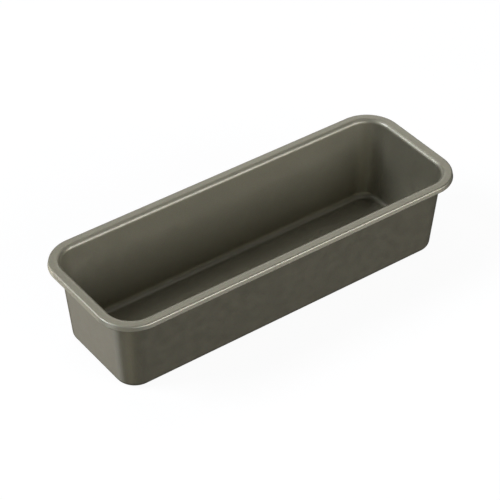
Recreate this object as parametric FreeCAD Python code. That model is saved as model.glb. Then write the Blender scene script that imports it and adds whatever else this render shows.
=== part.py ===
"""Long loaf pan: one deep-drawn, coated steel shell whose rim is curled round a closed wire.

The origin is the middle of the base, on the surface that the pan stands on. +X runs along the
pan and +Z runs up.
"""

import FreeCAD, Part

import math
import os

from FreeCAD import Vector

# Driving dimensions, in millimetres.
RIM_LENGTH = 300.0  # over the rim's outer edges
RIM_WIDTH = 109.0
HEIGHT = 67.0  # base to the top of the flange
SHEET = 0.6  # coated sheet thickness
RIM_CORNER = 27.0  # plan radius of the rim's outer edge
FLANGE = 8.1  # rim's outer edge to the wall's outer face, at the top
WALL_LEAN = 5.5  # how far every wall comes in between the top and the base
BASE_CORNER = 15.0  # plan radius of the wall's outer face, at the base
BASE_BEND = 5.0  # outside radius between wall and base
LIP_BEND = 3.5  # radius of the upper face where the wall turns out into the flange
CURL_HEIGHT = 4.2  # flange's top to the underside of the curled edge
CURL_BEND = 1.4  # outside radius of the curl's first and last bends
EDGE_BEND = 0.7  # outside radius of its lower outer edge
BAND_LEAN = 12.0  # degrees that the curl's outer band splays from upright
CURL_TAIL = 0.9  # straight end of the curl, pointing up behind the wire
WIRE_GAP = 1.2  # the wire's two ends face each other across this gap

# Sizes that follow from them.
RIM_HALF_LENGTH = RIM_LENGTH / 2
RIM_HALF_WIDTH = RIM_WIDTH / 2
WALL_ANGLE = math.atan2(WALL_LEAN, HEIGHT)
SHEET_ACROSS = SHEET / math.cos(WALL_ANGLE)  # the wall's thickness, measured level
LIP_BEND_UNDER = LIP_BEND - SHEET
INSIDE_BASE_BEND = BASE_BEND - SHEET
WIRE_DIAMETER = CURL_HEIGHT - 2 * SHEET  # the curl is closed tight round the wire

# The curl's outer band, carried on up, would meet the flange's top at BAND_TOP_INSET. A circle
# that touches both of them has its centre further in, by BAND_SHARE of the circle's radius.
BAND_SLOPE = math.tan(math.radians(BAND_LEAN))
BAND_STRETCH = 1 / math.cos(math.radians(BAND_LEAN))
BAND_SHARE = BAND_STRETCH - BAND_SLOPE
BAND_TOP_INSET = CURL_HEIGHT * BAND_SLOPE - EDGE_BEND * (BAND_STRETCH + BAND_SLOPE - 1)
TOP_BEND_INSET = BAND_TOP_INSET + CURL_BEND * BAND_SHARE
WIRE_INSET = BAND_TOP_INSET + CURL_HEIGHT / 2 * BAND_SHARE
CURL_DEPTH = WIRE_INSET + CURL_HEIGHT / 2  # rim's outer edge to the back of the curl

OVERSHOOT = 10.0  # how far a cutting shape runs past what it cuts
UP = Vector(0, 0, 1)


def outline(inset, corner, z):
    """Rounded rectangle that lies inset from the rim's outer edge, at height z."""
    x = RIM_HALF_LENGTH - inset
    y = RIM_HALF_WIDTH - inset
    centres = [
        Vector(x - corner, y - corner, z),
        Vector(-x + corner, y - corner, z),
        Vector(-x + corner, -y + corner, z),
        Vector(x - corner, -y + corner, z),
    ]
    arcs = [
        Part.Arc(Part.Circle(c, UP, corner), math.radians(90 * n), math.radians(90 * n + 90))
        for n, c in enumerate(centres)
    ]
    edges = []
    for n, arc in enumerate(arcs):
        following = arcs[(n + 1) % len(arcs)]
        edges.append(arc.toShape())
        edges.append(Part.makeLine(arc.EndPoint, following.StartPoint))
    return Part.Wire(edges)


def wall_outline(share_down, thickness=0.0, z=0.0):
    """Outline of the wall's outer face, or of a face inside it by thickness.

    share_down is 0 at the top of the flange and 1 at the base.
    """
    top_corner = RIM_CORNER - FLANGE
    corner = top_corner + (BASE_CORNER - top_corner) * share_down
    return outline(FLANGE + WALL_LEAN * share_down + thickness, corner - thickness, z)


def tub(bottom, top, thickness=0.0):
    """Closed tapering solid inside the wall's outer face, between two heights."""
    wires = [wall_outline(1 - z / HEIGHT, thickness, z) for z in (bottom, top)]
    return Part.makeLoft(wires, True, True)


def edges_at(shape, z, inset_limits):
    """Level edges at height z whose distance in from the rim's outer edge is within the limits."""
    low, high = inset_limits
    found = []
    for edge in shape.Edges:
        box = edge.BoundBox
        if box.ZMax - z > 1e-3 or z - box.ZMin > 1e-3:
            continue
        reach_x = RIM_HALF_LENGTH - max(abs(box.XMin), abs(box.XMax))
        reach_y = RIM_HALF_WIDTH - max(abs(box.YMin), abs(box.YMax))
        if low <= min(reach_x, reach_y) <= high:
            found.append(edge)
    return found


def drawn_tray():
    """Base, walls and the flat of the flange, with their bends, up to where the curl begins."""
    flange_under = HEIGHT - SHEET
    outer = tub(0, HEIGHT)
    outer = outer.makeFillet(BASE_BEND, edges_at(outer, 0, (0, RIM_WIDTH)))
    edge = outline(TOP_BEND_INSET, RIM_CORNER - TOP_BEND_INSET, flange_under)
    flange = Part.Face(edge).extrude(Vector(0, 0, SHEET))
    blank = outer.fuse(flange).removeSplitter()
    blank = blank.makeFillet(
        LIP_BEND_UNDER, edges_at(blank, flange_under, (FLANGE - 1, FLANGE + 1))
    )
    hollow = tub(SHEET, HEIGHT + OVERSHOOT, SHEET_ACROSS)
    hollow = hollow.makeFillet(INSIDE_BASE_BEND, edges_at(hollow, SHEET, (0, RIM_WIDTH)))
    tray = blank.cut(hollow)
    return tray.makeFillet(LIP_BEND, edges_at(tray, HEIGHT, (FLANGE, FLANGE + 2)))


def corner_centres():
    """The four vertical axes that the rim's corners turn about, going round from +X +Y."""
    x = RIM_HALF_LENGTH - RIM_CORNER
    y = RIM_HALF_WIDTH - RIM_CORNER
    return [Vector(x, y, 0), Vector(-x, y, 0), Vector(-x, -y, 0), Vector(x, -y, 0)]


def carried_round(section):
    """Solids made by carrying a section round the rim: four turned corners, four straights.

    The section lies in the XZ plane, and its x is measured out from a corner's axis.
    """
    centres = corner_centres()
    solids = []
    for n, centre in enumerate(centres):
        start = section.copy()
        start.rotate(Vector(), UP, 90 * n)
        start.translate(centre)
        solids.append(start.revolve(centre, UP, 90))
        end = section.copy()
        end.rotate(Vector(), UP, 90 * (n + 1))
        end.translate(centre)
        solids.append(end.extrude(centres[(n + 1) % len(centres)] - centre))
    return solids


def rim_point(inset, drop):
    """A point of a rim section: inset from the rim's outer edge, and below the flange's top."""
    return Vector(RIM_CORNER - inset, 0, HEIGHT - drop)


def bend(centre_inset, centre_drop, radius, start, end):
    """Arc of a rim section. Angles are in degrees, from outwards through upwards."""
    centre = rim_point(centre_inset, centre_drop)

    def at(angle):
        turn = math.radians(angle)
        return centre + Vector(radius * math.cos(turn), 0, radius * math.sin(turn))

    return Part.Arc(at(start), at((start + end) / 2), at(end)).toShape()


def joined(edges):
    """The edges in order, with a straight line across each gap, closed as a face."""
    closed = []
    for edge, following in zip(edges, edges[1:] + edges[:1]):
        closed.append(edge)
        here, there = edge.Vertexes[-1].Point, following.Vertexes[0].Point
        closed.append(Part.makeLine(here, there))
    return Part.Face(Part.Wire(closed))


def curl_section():
    """The sheet from the flange's outer bend, down the band, under and up behind the wire."""
    first = (TOP_BEND_INSET, CURL_BEND)
    edge = (EDGE_BEND, CURL_HEIGHT - EDGE_BEND)
    last = (CURL_DEPTH - CURL_BEND, CURL_HEIGHT - CURL_BEND)
    tail_drop = CURL_HEIGHT - CURL_BEND - CURL_TAIL
    outside = [
        bend(*first, CURL_BEND, 90, BAND_LEAN),
        bend(*edge, EDGE_BEND, BAND_LEAN, -90),
        bend(*last, CURL_BEND, -90, -180),
        Part.makeLine(
            rim_point(CURL_DEPTH, tail_drop), rim_point(CURL_DEPTH - SHEET, tail_drop)
        ),
    ]
    inside = [
        bend(*last, CURL_BEND - SHEET, -180, -90),
        bend(*edge, EDGE_BEND - SHEET, -90, BAND_LEAN),
        bend(*first, CURL_BEND - SHEET, BAND_LEAN, 90),
    ]
    return joined(outside + inside)


def pan_shell():
    """The whole shell, drawn from one sheet: tray, flange and curled edge."""
    tray = drawn_tray()
    return tray.multiFuse(carried_round(curl_section())).removeSplitter()


def rim_wire():
    """Steel wire inside the curl, bent to the rim's outline, its ends meeting at the back."""
    centre = rim_point(WIRE_INSET, CURL_HEIGHT / 2)
    circle = Part.Circle(centre, Vector(0, 1, 0), WIRE_DIAMETER / 2)
    section = Part.Face(Part.Wire(circle.toShape()))
    solids = carried_round(section)
    ring = solids[0].multiFuse(solids[1:]).removeSplitter()
    side = CURL_DEPTH + OVERSHOOT
    gap = Part.makeBox(WIRE_GAP, side, side)
    gap.translate(Vector(-WIRE_GAP / 2, RIM_HALF_WIDTH - side, HEIGHT - side))
    return ring.cut(gap)


def solids_of(shape):
    """Every solid of a shape, as one compound."""
    return Part.makeCompound(shape.Solids)


def main():
    os.makedirs("parts", exist_ok=True)
    nodes = {"pan_shell": pan_shell(), "rim_wire": rim_wire()}
    for name, shape in nodes.items():
        print(
            f"{name}: {len(shape.Solids)} solid, {len(shape.Faces)} faces, "
            f"{shape.Volume / 1000:.2f} cm3, valid {shape.isValid()}"
        )
        solids_of(shape).exportStep(f"parts/{name}.step")


main()
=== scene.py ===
import math

import bmesh
import bpy
from mathutils import Matrix, Vector

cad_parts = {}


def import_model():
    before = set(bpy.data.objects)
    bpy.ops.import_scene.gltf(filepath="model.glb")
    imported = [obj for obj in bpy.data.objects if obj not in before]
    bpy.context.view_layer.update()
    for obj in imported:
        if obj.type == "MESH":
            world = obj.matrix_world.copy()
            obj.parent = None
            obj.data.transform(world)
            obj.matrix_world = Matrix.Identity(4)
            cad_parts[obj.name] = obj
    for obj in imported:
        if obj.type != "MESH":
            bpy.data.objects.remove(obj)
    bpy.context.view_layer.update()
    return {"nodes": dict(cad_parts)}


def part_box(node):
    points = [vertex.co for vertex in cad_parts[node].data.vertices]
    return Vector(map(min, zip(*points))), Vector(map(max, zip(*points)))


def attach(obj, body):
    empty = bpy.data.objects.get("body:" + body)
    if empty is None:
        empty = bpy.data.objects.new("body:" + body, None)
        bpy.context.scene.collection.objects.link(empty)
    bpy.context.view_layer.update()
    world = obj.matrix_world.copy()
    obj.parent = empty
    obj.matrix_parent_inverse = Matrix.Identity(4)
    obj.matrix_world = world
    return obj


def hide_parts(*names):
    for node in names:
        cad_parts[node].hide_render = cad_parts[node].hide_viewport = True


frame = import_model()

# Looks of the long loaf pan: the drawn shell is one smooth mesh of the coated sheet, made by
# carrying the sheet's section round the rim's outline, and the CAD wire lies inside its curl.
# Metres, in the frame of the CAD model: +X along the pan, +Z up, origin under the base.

MM = 0.001

# Sizes that the frame gives.
shell_low, shell_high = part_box("pan_shell")
wire_low, wire_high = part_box("rim_wire")
HALF_LENGTH = shell_high.x
HALF_WIDTH = shell_high.y
HEIGHT = shell_high.z
SHEET = shell_high.z - wire_high.z
CURL_HEIGHT = wire_high.z - wire_low.z + 2 * SHEET
CURL_DEPTH = shell_high.x - wire_high.x + CURL_HEIGHT - SHEET  # closed tight round the wire

# The sheet's bends, as the CAD model has them.
RIM_CORNER = 27 * MM  # plan radius of the rim's outer edge
FLANGE = 8.1 * MM  # rim's outer edge to the wall's outer face, at the top
WALL_LEAN = 5.5 * MM  # how far every wall comes in between the top and the base
BASE_CORNER = 15 * MM  # plan radius of the wall's outer face, at the base
BASE_BEND = 5 * MM  # outside radius between wall and base
LIP_BEND = 3.5 * MM  # radius of the upper face where the wall turns out into the flange
CURL_BEND = 1.4 * MM  # outside radius of the curl's first and last bends
EDGE_BEND = 0.7 * MM  # outside radius of its lower outer edge
BAND_LEAN = 12  # degrees that the curl's outer band splays from upright
CURL_TAIL = 0.9 * MM  # straight end of the curl, pointing up behind the wire

WALL_TURN = math.atan2(WALL_LEAN, HEIGHT)
SHEET_ACROSS = SHEET / math.cos(WALL_TURN)
BAND_SHARE = 1 / math.cos(math.radians(BAND_LEAN)) - math.tan(math.radians(BAND_LEAN))
WIRE_INSET = CURL_DEPTH - CURL_HEIGHT / 2
TOP_BEND_INSET = WIRE_INSET - (CURL_HEIGHT / 2 - CURL_BEND) * BAND_SHARE

# Where the painted highlight on the rim's outer band ends: inwards from its outer edge, and up
# from its band.
HIGHLIGHT_INSET = 2.2 * MM
HIGHLIGHT_FADE_IN = 0.8 * MM
HIGHLIGHT_DROP = 0.2 * MM
HIGHLIGHT_FADE_UP = 0.6 * MM

# How finely the shell is divided.
CORNER_STEPS = 32  # each rounded corner; even, because the floor's patch starts half way
LONG_STEPS = 80
SHORT_STEPS = 24
BEND_STEPS = 14
WALL_STEPS = 28
FLAT_STEPS = 6
SAME_PLACE = 0.001 * MM  # points closer than this are welded


# The sheet's section, as rows of (inset from the rim's outer edge, plan corner radius, height).


def wall_row(z, thickness=0.0):
    """Row on the wall's outer face at height z, or on a face inside it by thickness."""
    share_down = 1 - z / HEIGHT
    top_corner = RIM_CORNER - FLANGE
    corner = top_corner + (BASE_CORNER - top_corner) * share_down
    return FLANGE + WALL_LEAN * share_down + thickness, corner - thickness, z


def eased(steps):
    """Shares from 0 to 1 that are closer together at both ends."""
    return [(1 - math.cos(math.pi * n / steps)) / 2 for n in range(steps + 1)]


def straight(start, end, steps):
    """Rows along a flat stretch of the section, closer together beside its bends."""
    return [tuple(a + (b - a) * t for a, b in zip(start, end)) for t in eased(steps)]


def bend(centre, radius, start, end, steps=BEND_STEPS):
    """Rows round a bend. Angles are in degrees, from outwards through upwards."""
    inset, corner, z = centre
    rows = []
    for n in range(steps + 1):
        angle = math.radians(start + (end - start) * n / steps)
        out, up = radius * math.cos(angle), radius * math.sin(angle)
        rows.append((inset - out, corner + out, z + up))
    return rows


def inside_of_wall(z, radius):
    """Centre of a bend of that radius between the wall's inner face and the base."""
    inset, corner, z = wall_row(z, SHEET_ACROSS)
    return inset + radius / math.cos(WALL_TURN), corner - radius / math.cos(WALL_TURN), z


def sheet_section():
    """Rows round the whole sheet: the inside, the curled edge, then back down the outside."""
    wall_angle = math.degrees(WALL_TURN)
    inside_bend = BASE_BEND - SHEET
    base_centre = inside_of_wall(BASE_BEND, inside_bend)
    lip_centre = inside_of_wall(HEIGHT - LIP_BEND, -LIP_BEND)
    floor_bend = bend(base_centre, inside_bend, -90, -wall_angle)
    lip = bend(lip_centre, LIP_BEND, 180 - wall_angle, 90)

    def rim_row(inset, drop):
        return inset, RIM_CORNER - inset, HEIGHT - drop

    first = rim_row(TOP_BEND_INSET, CURL_BEND)
    edge = rim_row(EDGE_BEND, CURL_HEIGHT - EDGE_BEND)
    last = rim_row(CURL_DEPTH - CURL_BEND, CURL_HEIGHT - CURL_BEND)
    outer_curl = [
        bend(first, CURL_BEND, 90, BAND_LEAN),
        bend(edge, EDGE_BEND, BAND_LEAN, -90),
        bend(last, CURL_BEND, -90, -180),
    ]
    tail_drop = CURL_HEIGHT - CURL_BEND - CURL_TAIL
    tail = [rim_row(CURL_DEPTH, tail_drop), rim_row(CURL_DEPTH - SHEET, tail_drop)]
    inner_curl = [
        bend(last, CURL_BEND - SHEET, -180, -90),
        bend(edge, EDGE_BEND - SHEET, -90, BAND_LEAN),
        bend(first, CURL_BEND - SHEET, BAND_LEAN, 90),
    ]
    lip_under = bend(lip_centre, LIP_BEND - SHEET, 90, 180 - wall_angle)
    base_under = bend(base_centre, BASE_BEND, -wall_angle, -90)

    stretches = [
        (floor_bend, WALL_STEPS),
        (lip, FLAT_STEPS),
        (outer_curl[0], FLAT_STEPS),
        (outer_curl[1], FLAT_STEPS),
        (outer_curl[2], FLAT_STEPS),
        (tail, FLAT_STEPS),
        (inner_curl[0], FLAT_STEPS),
        (inner_curl[1], FLAT_STEPS),
        (inner_curl[2], FLAT_STEPS),
        (lip_under, WALL_STEPS),
        (base_under, 0),
    ]
    rows = []
    for (stretch, steps), following in zip(stretches, stretches[1:] + [None]):
        rows += stretch
        if following:
            rows += straight(stretch[-1], following[0][0], steps)[1:-1]
    return rows


# From section to mesh.


def ring(inset, corner, z):
    """Points round a rounded rectangle, starting at +X and going round through +Y."""
    x = HALF_LENGTH - inset - corner
    y = HALF_WIDTH - inset - corner
    centres = [Vector((sx * x, sy * y, z)) for sx, sy in ((1, 1), (-1, 1), (-1, -1), (1, -1))]
    points = []
    for n, centre in enumerate(centres):
        arc = []
        for k in range(CORNER_STEPS + 1):
            angle = (n + k / CORNER_STEPS) * math.pi / 2
            arc.append(centre + corner * Vector((math.cos(angle), math.sin(angle), 0)))
        following = centres[(n + 1) % 4] - centre
        steps = LONG_STEPS if n % 2 == 0 else SHORT_STEPS
        points += arc
        points += [arc[-1] + following * t for t in eased(steps)[1:-1]]
    return points


def patch(ring_points):
    """Points of a grid that fills a ring, as rows: the ring's four corners are half way round
    its arcs, and every inner point is blended from the four sides."""
    half = CORNER_STEPS // 2
    points = ring_points[half:] + ring_points[:half]
    long_side = CORNER_STEPS + LONG_STEPS
    short_side = CORNER_STEPS + SHORT_STEPS
    top = points[: long_side + 1]
    left = points[long_side : long_side + short_side + 1]
    bottom = points[long_side + short_side : 2 * long_side + short_side + 1][::-1]
    right = (points[2 * long_side + short_side :] + points[:1])[::-1]
    grid = []
    for j in range(short_side + 1):
        v = j / short_side
        row = []
        for i in range(long_side + 1):
            u = i / long_side
            sides = top[i] * (1 - v) + bottom[i] * v + right[j] * (1 - u) + left[j] * u
            corners = (top[0] * (1 - u) + top[-1] * u) * (1 - v)
            corners += (bottom[0] * (1 - u) + bottom[-1] * u) * v
            row.append(sides - corners)
        grid.append(row)
    return grid


class MeshMaker:
    """Collects points and quads, then welds the points that are at one place."""

    def __init__(self):
        self.points = []
        self.faces = []

    def grid(self, rows, closed=False, flipped=False):
        """Quads between rows of points. A closed grid joins each row's end to its start."""
        numbers = []
        for row in rows:
            numbers.append(range(len(self.points), len(self.points) + len(row)))
            self.points += row
        for low, high in zip(numbers, numbers[1:]):
            count = len(low)
            for i in range(count if closed else count - 1):
                k = (i + 1) % count
                face = (low[i], low[k], high[k], high[i])
                self.faces.append(face[::-1] if flipped else face)

    def finished(self, name, material):
        mesh = bpy.data.meshes.new(name)
        mesh.from_pydata(self.points, [], self.faces)
        skin = bmesh.new()
        skin.from_mesh(mesh)
        bmesh.ops.remove_doubles(skin, verts=skin.verts, dist=SAME_PLACE)
        skin.to_mesh(mesh)
        skin.free()
        mesh.validate()
        mesh.shade_smooth()
        mesh.materials.append(material)
        piece = bpy.data.objects.new(name, mesh)
        bpy.context.scene.collection.objects.link(piece)
        return piece


def painted_band_highlight(point):
    """1 on the rim's outer band, where a lighter colour is painted in as a highlight, and 0 away
    from it.
    """
    over_x = max(abs(point.x) - HALF_LENGTH + RIM_CORNER, 0)
    over_y = max(abs(point.y) - HALF_WIDTH + RIM_CORNER, 0)
    inset = RIM_CORNER - math.hypot(over_x, over_y)
    drop = HEIGHT - point.z
    inwards = (HIGHLIGHT_INSET - inset) / HIGHLIGHT_FADE_IN
    upwards = (drop - HIGHLIGHT_DROP) / HIGHLIGHT_FADE_UP
    return min(max(min(inwards, upwards), 0), 1)


def drawn_shell(material):
    """The whole pan shell: one closed skin round the sheet, 0.6 mm thick everywhere."""
    rings = [ring(*row) for row in sheet_section()]
    maker = MeshMaker()
    maker.grid(rings, closed=True, flipped=True)
    maker.grid(patch(rings[0]))
    maker.grid(patch(rings[-1]), flipped=True)
    piece = maker.finished("drawn_shell", material)
    # Mask of the painted highlight on the rim's outer band, stored on the points.
    highlight_layer = piece.data.attributes.new("painted_band_highlight", "FLOAT", "POINT")
    highlight_layer.data.foreach_set("value", [painted_band_highlight(vertex.co) for vertex in piece.data.vertices])
    normals = piece.modifiers.new("flat_faces_stay_flat", "WEIGHTED_NORMAL")
    normals.keep_sharp = True
    return piece


# Materials.


class Nodes:
    """Short calls for a material's node tree."""

    def __init__(self, name):
        self.material = bpy.data.materials.new(name)
        self.material.use_nodes = True
        self.tree = self.material.node_tree
        self.shader = self.tree.nodes["Principled BSDF"]
        self.place = self.add("ShaderNodeTexCoord").outputs["Object"]

    def add(self, kind, **settings):
        node = self.tree.nodes.new(kind)
        for key, value in settings.items():
            if key in node.inputs:
                node.inputs[key].default_value = value
            else:
                setattr(node, key, value)
        return node

    def link(self, source, target):
        self.tree.links.new(source, target)

    def set(self, **values):
        """Sets the shader's own sockets; an underscore in a name stands for a space."""
        for key, value in values.items():
            self.shader.inputs[key.replace("_", " ")].default_value = value

    def noise(self, size, detail=2.0, roughness=0.5, stretch=(1, 1, 1)):
        """Noise from 0 to 1 whose features are about size metres across."""
        mapping = self.add("ShaderNodeMapping")
        mapping.inputs["Scale"].default_value = Vector(stretch) / size
        self.link(self.place, mapping.inputs["Vector"])
        node = self.add("ShaderNodeTexNoise", Scale=1.0, Detail=detail, Roughness=roughness)
        self.link(mapping.outputs["Vector"], node.inputs["Vector"])
        return node.outputs["Fac"]

    def cells(self, size):
        """A random colour for each cell, about size metres across."""
        node = self.add("ShaderNodeTexVoronoi", Scale=1 / size)
        self.link(self.place, node.inputs["Vector"])
        return node.outputs["Color"]

    def spread(self, source, low, high, start=0.3, end=0.7):
        """Maps source's start to end range on to low to high."""
        node = self.add("ShaderNodeMapRange")
        node.inputs["From Min"].default_value = start
        node.inputs["From Max"].default_value = end
        node.inputs["To Min"].default_value = low
        node.inputs["To Max"].default_value = high
        self.link(source, node.inputs["Value"])
        return node.outputs["Result"]

    def mix(self, factor, first, second, blend="MIX"):
        """Mixes two colours. Each may be a colour or a socket."""
        node = self.add("ShaderNodeMix", data_type="RGBA", blend_type=blend)
        named = {"Factor_Float": factor, "A_Color": first, "B_Color": second}
        sockets = {socket.identifier: socket for socket in node.inputs}
        for key, value in named.items():
            if isinstance(value, bpy.types.NodeSocket):
                self.link(value, sockets[key])
            else:
                sockets[key].default_value = value
        return next(socket for socket in node.outputs if socket.identifier == "Result_Color")

    def bump(self, height, distance, strength=1.0, below=None):
        node = self.add("ShaderNodeBump", Strength=strength, Distance=distance)
        self.link(height, node.inputs["Height"])
        if below:
            self.link(below, node.inputs["Normal"])
        return node.outputs["Normal"]


def coated_steel():
    """Champagne-grey non-stick coating: a satin film full of fine metallic flakes."""
    n = Nodes("champagne_non_stick")
    clouds = n.noise(45 * MM, detail=3)
    flakes = n.cells(0.22 * MM)
    film = n.mix(n.spread(clouds, 0.0, 1.0), (0.325, 0.307, 0.236, 1), (0.345, 0.326, 0.251, 1))
    # Painted highlight: the rim's outer band gets a lighter film colour, not light from a lamp,
    # and a smoother finish there.
    band_highlight_mask = n.add("ShaderNodeAttribute", attribute_name="painted_band_highlight").outputs["Fac"]
    film = n.mix(band_highlight_mask, film, (0.465, 0.447, 0.365, 1))
    light_flake = n.mix(0.16, film, flakes, blend="OVERLAY")
    n.link(light_flake, n.shader.inputs["Base Color"])
    n.set(Metallic=0.8, IOR=1.5, Coat_Weight=0.8, Coat_Roughness=0.25, Coat_IOR=1.5)
    satin = n.spread(n.noise(7 * MM, detail=4), 0.50, 0.58)
    n.link(n.mix(band_highlight_mask, satin, (0.5, 0.5, 0.5, 1)), n.shader.inputs["Roughness"])
    sheet_waves = n.bump(n.noise(60 * MM, detail=1), distance=0.35 * MM)
    orange_peel = n.bump(n.noise(1.1 * MM, detail=3), distance=0.012 * MM, below=sheet_waves)
    n.link(orange_peel, n.shader.inputs["Normal"])
    return n.material


def drawn_wire():
    """Plain steel wire, with the fine lines that the drawing die leaves."""
    n = Nodes("bare_drawn_wire")
    stain = n.noise(9 * MM, detail=4)
    steel = n.mix(n.spread(stain, 0, 1), (0.50, 0.50, 0.50, 1), (0.40, 0.385, 0.36, 1))
    n.link(steel, n.shader.inputs["Base Color"])
    n.set(Metallic=1.0)
    n.link(n.spread(n.noise(2 * MM), 0.28, 0.42), n.shader.inputs["Roughness"])
    lines = n.noise(0.25 * MM, detail=2)
    n.link(n.bump(lines, distance=0.01 * MM), n.shader.inputs["Normal"])
    return n.material


def pale_floor():
    """Matt paint that glows a little under white, so that only the pan's shadow shows on it."""
    n = Nodes("pale_floor")
    tint = n.mix(n.spread(n.noise(0.4), 0, 1), (0.09, 0.09, 0.09, 1), (0.1, 0.1, 0.1, 1))
    n.link(tint, n.shader.inputs["Base Color"])
    n.set(Roughness=0.9, Specular_IOR_Level=0.0)
    n.set(Emission_Color=(1, 1, 1, 1), Emission_Strength=0.93)
    return n.material


# The stage: floor, lights and camera.

LAMP_DISTANCE = 3.0
FLOOR_GAP = 0.2 * MM  # floor below the base, so that the two faces are never in one place


def floor(half_size=3.0):
    """Pale floor that only the camera sees, so that the low lamps can stand in for its light."""
    mesh = bpy.data.meshes.new("studio_floor")
    corners = ((-1, -1), (1, -1), (1, 1), (-1, 1))
    points = [(x * half_size, y * half_size, -FLOOR_GAP) for x, y in corners]
    mesh.from_pydata(points, [], [(0, 1, 2, 3)])
    mesh.materials.append(pale_floor())
    obj = bpy.data.objects.new("studio_floor", mesh)
    bpy.context.scene.collection.objects.link(obj)
    obj.visible_diffuse = False
    obj.visible_glossy = False
    obj.visible_shadow = False


def direction(azimuth, elevation):
    """Unit vector towards a viewer at that azimuth and elevation: 0 is on the -Y side."""
    a, e = math.radians(azimuth), math.radians(elevation)
    return Vector((math.sin(a) * math.cos(e), -math.cos(a) * math.cos(e), math.sin(e)))


def softbox(name, azimuth, elevation, across, high, light, tint=(1, 1, 1)):
    """Area light that faces the pan from LAMP_DISTANCE away. across and high are how wide it
    looks from there, in degrees, and light is how strongly it lights the pan, in W/m2."""
    data = bpy.data.lights.new(name, "AREA")
    data.shape = "RECTANGLE"
    data.size = 2 * LAMP_DISTANCE * math.tan(math.radians(across / 2))
    data.size_y = 2 * LAMP_DISTANCE * math.tan(math.radians(high / 2))
    data.energy = light * math.pi * LAMP_DISTANCE**2
    data.color = tint
    lamp = bpy.data.objects.new(name, data)
    towards = direction(azimuth, elevation)
    lamp.location = Vector((0, 0, HEIGHT / 2)) + towards * LAMP_DISTANCE
    lamp.rotation_euler = towards.to_track_quat("Z", "Y").to_euler()
    bpy.context.scene.collection.objects.link(lamp)


def camera():
    """Long lens, looking down on the pan from its front left."""
    data = bpy.data.cameras.new("camera")
    data.sensor_width = 36
    data.lens = 144.765
    azimuth, elevation, distance = -36.14, 38.98, 1.43136
    back = direction(azimuth, elevation)
    right = Vector((math.cos(math.radians(azimuth)), math.sin(math.radians(azimuth)), 0))
    up = back.cross(right)
    pan_middle = Vector((0, 0, 35 * MM))
    aside, down = 4.17 * MM, 0.76 * MM
    aim = pan_middle - aside * right - down * up
    obj = bpy.data.objects.new("camera", data)
    turn = Matrix((right, up, back)).transposed().to_4x4()
    obj.matrix_world = Matrix.Translation(aim + back * distance) @ turn
    bpy.context.scene.collection.objects.link(obj)
    bpy.context.scene.camera = obj


def world(level=0.01):
    """Dim even grey all round."""
    made = bpy.data.worlds.new("studio")
    made.use_nodes = True
    made.node_tree.nodes["Background"].inputs["Color"].default_value = (level, level, level, 1)
    bpy.context.scene.world = made


shell = drawn_shell(coated_steel())
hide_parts("pan_shell")
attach(shell, "root")

wire = frame["nodes"]["rim_wire"]
wire.material_slots[0].material = drawn_wire()

floor()
camera()
world()

# Azimuth, elevation, width and height in degrees, then W/m2. The lamps whose names end in
# bounce are below the table's level, and stand in for the light that a pale table throws up.
softbox("left_key", -120, 40, 26, 26, 2.05, (0.95, 1.0, 1.08))
softbox("back_top", 180, 60, 26, 26, 0.34)
softbox("top", 40, 72, 40, 26, 0.15)
softbox("back_right", 126, 40, 44, 26, 0.27, (1.0, 1.0, 0.92))
softbox("back_right_low", 144, 22, 26, 22, 0.21)
softbox("front", -4, 22, 40, 22, 0.82)
softbox("front_right", 24, 22, 24, 24, 0.88, (0.97, 1.0, 1.08))
softbox("front_right_low", 36, 6, 24, 24, 0.45, (1.05, 1.0, 0.86))
softbox("back_low", 180, 6, 24, 24, 0.23)
softbox("back_left_bounce", -150, -12, 24, 24, 0.6, (1.04, 1.0, 0.88))
softbox("back_left_deep_bounce", -150, -36, 24, 24, 0.095, (1.04, 0.98, 0.92))
softbox("left_bounce", -90, -12, 24, 24, 0.25)
softbox("left_deep_bounce", -122, -42, 24, 24, 0.15)
softbox("corner_bounce", -55, -34, 24, 24, 0.155, (1.05, 1.0, 0.8))

bpy.context.scene.view_settings.view_transform = "Standard"
